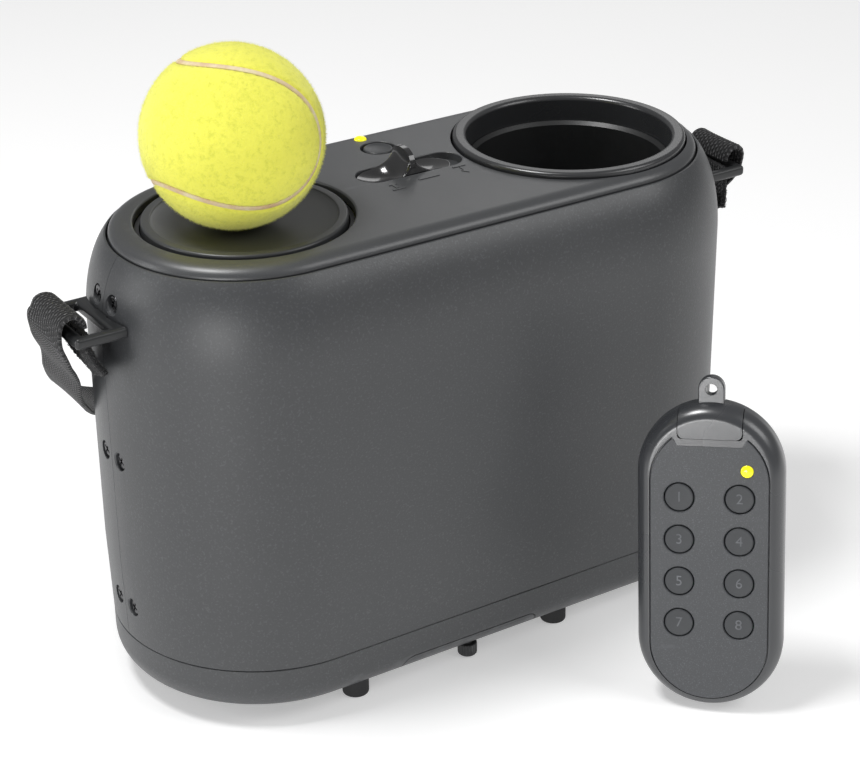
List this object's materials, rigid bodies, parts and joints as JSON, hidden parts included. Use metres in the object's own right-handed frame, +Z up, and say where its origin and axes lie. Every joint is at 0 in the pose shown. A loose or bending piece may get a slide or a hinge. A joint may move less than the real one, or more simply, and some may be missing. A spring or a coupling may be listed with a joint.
{
  "type": "tennis ball machine",
  "caption": "Portable tennis ball launcher and dropper in an upright oblong casing, with launch plate, drop tube, selector, carry strap, a ball and a hand-held remote.",
  "frame": {"origin": "centre of the casing's footprint, on the floor that its feet stand on", "axes": "+X along the casing from the launch plate to the drop tube, +Y to the back where the strap hangs, +Z up"},
  "size_m": [0.3092, 0.2401, 0.2511],
  "materials": {
    "casing": "satin fine-grain",
    "cover": "satin",
    "dark_plastic": "satin",
    "gloss_black": "gloss",
    "lamp": "gloss",
    "rubber": "matte",
    "steel": "brushed",
    "black_screw": "satin",
    "bronze": "satin",
    "circuit": "satin",
    "cell": "satin",
    "wire": "satin",
    "webbing": "ribbed weave",
    "felt": "fuzzy felt",
    "remote_shell": "satin",
    "remote_face": "fine texture",
    "key_rubber": "matte"
  },
  "bodies": {
    "casing": {"base_tray": "casing", "rubber_feet": "rubber", "base_screws": "steel", "front_shell": "casing", "rear_shell": "casing", "shell_screws": "black_screw", "end_bracket_left": "dark_plastic", "end_bracket_right": "dark_plastic", "top_cover": "cover", "indicator_lens": "lamp", "power_switch": "steel", "selector_switch": "steel", "control_board": "circuit", "wiring_loom": "wire", "launch_tube": "dark_plastic", "rod_bush": "bronze", "launch_spring": "steel", "release_servo": "dark_plastic", "servo_bracket": "dark_plastic", "drop_collar": "dark_plastic", "drop_tube": "dark_plastic", "gate_hinge_pin": "steel", "gate_spring": "steel", "gate_magnet": "steel", "battery_cells": "cell", "battery_cradle": "dark_plastic", "strap_loop_left": "dark_plastic", "strap_loop_right": "dark_plastic", "carry_strap": "webbing", "strap_tail_left": "webbing", "strap_tail_right": "webbing"},
    "door": {"battery_door": "casing"},
    "thumbscrew": {"door_thumbscrew": "dark_plastic"},
    "power_key": {"power_button": "dark_plastic"},
    "selector": {"selector_slider": "gloss_black"},
    "plunger": {"launch_plate": "cover", "plunger_rod": "steel", "catch_collar": "steel"},
    "latch": {"release_latch": "steel"},
    "gate": {"drop_gate": "dark_plastic", "gate_striker": "steel"},
    "ball": {"tennis_ball": "felt", "ball_core": "rubber"},
    "remote": {"remote_back_shell": "remote_shell", "remote_front_shell": "remote_shell", "remote_face_plate": "remote_face", "remote_end_cap": "remote_shell", "remote_led_lens": "lamp", "remote_board": "circuit", "remote_battery": "steel", "remote_screws": "steel"},
    "remote_key_1": {"remote_button_1": "key_rubber"},
    "remote_key_2": {"remote_button_2": "key_rubber"},
    "remote_key_3": {"remote_button_3": "key_rubber"},
    "remote_key_4": {"remote_button_4": "key_rubber"},
    "remote_key_5": {"remote_button_5": "key_rubber"},
    "remote_key_6": {"remote_button_6": "key_rubber"},
    "remote_key_7": {"remote_button_7": "key_rubber"},
    "remote_key_8": {"remote_button_8": "key_rubber"}
  },
  "joints": [
    {"name": "launch_travel", "type": "slide", "parent": "casing", "child": "plunger", "axis": [0, 0, 1], "range_m": [-0.07, 0], "stiffness_N_per_m": 800, "springref_m": 0.03, "deforming": ["launch_spring"]},
    {"name": "ball_lift", "type": "slide", "parent": "plunger", "child": "ball", "axis": [0, 0, 1], "range_m": [0, 0.3]},
    {"name": "latch_turn", "type": "hinge", "parent": "casing", "child": "latch", "pos_m": [-0.0485, 0, 0.0187], "axis": [0, 0, -1], "range_deg": [0, 55]},
    {"name": "gate_swing", "type": "hinge", "parent": "casing", "child": "gate", "pos_m": [0.116, 0, 0.0066], "axis": [0, -1, 0], "range_deg": [0, 85], "stiffness_Nm_per_rad": 0.01, "springref_deg": -80.21},
    {"name": "selector_slide", "type": "slide", "parent": "casing", "child": "selector", "axis": [1, 0, 0], "range_m": [0, 0.005]},
    {"name": "power_press", "type": "slide", "parent": "casing", "child": "power_key", "axis": [0, 0, 1], "range_m": [-0.0012, 0], "stiffness_N_per_m": 400, "springref_m": 0.0006},
    {"name": "door_swing", "type": "hinge", "parent": "casing", "child": "door", "pos_m": [-0.012, 0.0243, 0.0075], "axis": [1, 0, 0], "range_deg": [0, 35]},
    {"name": "thumbscrew_turn", "type": "hinge", "parent": "door", "child": "thumbscrew", "pos_m": [-0.009, -0.05, 0.003], "axis": [0, 0, 1], "continuous": true},
    {"name": "remote_lift", "type": "slide", "parent": "casing", "child": "remote", "axis": [0, 0, 1], "range_m": [0, 0.3]},
    {"name": "remote_press_1", "type": "slide", "parent": "remote", "child": "remote_key_1", "axis": [0.6964, 0.6964, -0.1736], "range_m": [0, 0.0008], "stiffness_N_per_m": 400, "springref_m": -0.0004},
    {"name": "remote_press_2", "type": "slide", "parent": "remote", "child": "remote_key_2", "axis": [0.6964, 0.6964, -0.1736], "range_m": [0, 0.0008], "stiffness_N_per_m": 400, "springref_m": -0.0004},
    {"name": "remote_press_3", "type": "slide", "parent": "remote", "child": "remote_key_3", "axis": [0.6964, 0.6964, -0.1736], "range_m": [0, 0.0008], "stiffness_N_per_m": 400, "springref_m": -0.0004},
    {"name": "remote_press_4", "type": "slide", "parent": "remote", "child": "remote_key_4", "axis": [0.6964, 0.6964, -0.1736], "range_m": [0, 0.0008], "stiffness_N_per_m": 400, "springref_m": -0.0004},
    {"name": "remote_press_5", "type": "slide", "parent": "remote", "child": "remote_key_5", "axis": [0.6964, 0.6964, -0.1736], "range_m": [0, 0.0008], "stiffness_N_per_m": 400, "springref_m": -0.0004},
    {"name": "remote_press_6", "type": "slide", "parent": "remote", "child": "remote_key_6", "axis": [0.6964, 0.6964, -0.1736], "range_m": [0, 0.0008], "stiffness_N_per_m": 400, "springref_m": -0.0004},
    {"name": "remote_press_7", "type": "slide", "parent": "remote", "child": "remote_key_7", "axis": [0.6964, 0.6964, -0.1736], "range_m": [0, 0.0008], "stiffness_N_per_m": 400, "springref_m": -0.0004},
    {"name": "remote_press_8", "type": "slide", "parent": "remote", "child": "remote_key_8", "axis": [0.6964, 0.6964, -0.1736], "range_m": [0, 0.0008], "stiffness_N_per_m": 400, "springref_m": -0.0004}
  ]
}
